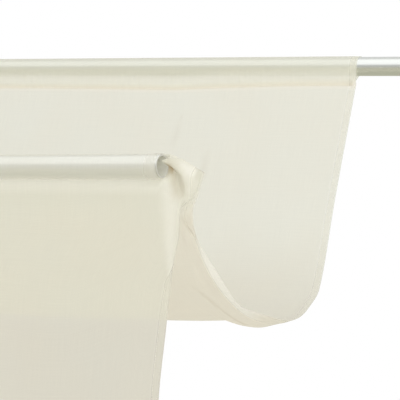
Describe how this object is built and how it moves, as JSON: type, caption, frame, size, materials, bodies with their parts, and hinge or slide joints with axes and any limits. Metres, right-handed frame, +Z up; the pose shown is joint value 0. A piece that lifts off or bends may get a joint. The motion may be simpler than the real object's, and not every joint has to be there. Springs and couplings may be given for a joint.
{
  "type": "sheer curtain panel on a back rod and a front rod",
  "caption": "Sheer voile panel that hangs from a back rod in a deep swag, rises over a front rod and falls free.",
  "frame": {"origin": "middle of the back rod's axis", "axes": "+X along the rods to the viewer's right, +Y away from the viewer, +Z up"},
  "size_m": [1.2401, 0.4819, 0.729],
  "materials": {
    "voile": "cream plain-woven voile, semi-sheer, soft and matt",
    "tube": "satin anodised"
  },
  "bodies": {
    "root": {"panel": "voile", "front_casing": "voile", "back_tube": "tube", "front_tube": "tube"}
  },
  "joints": []
}
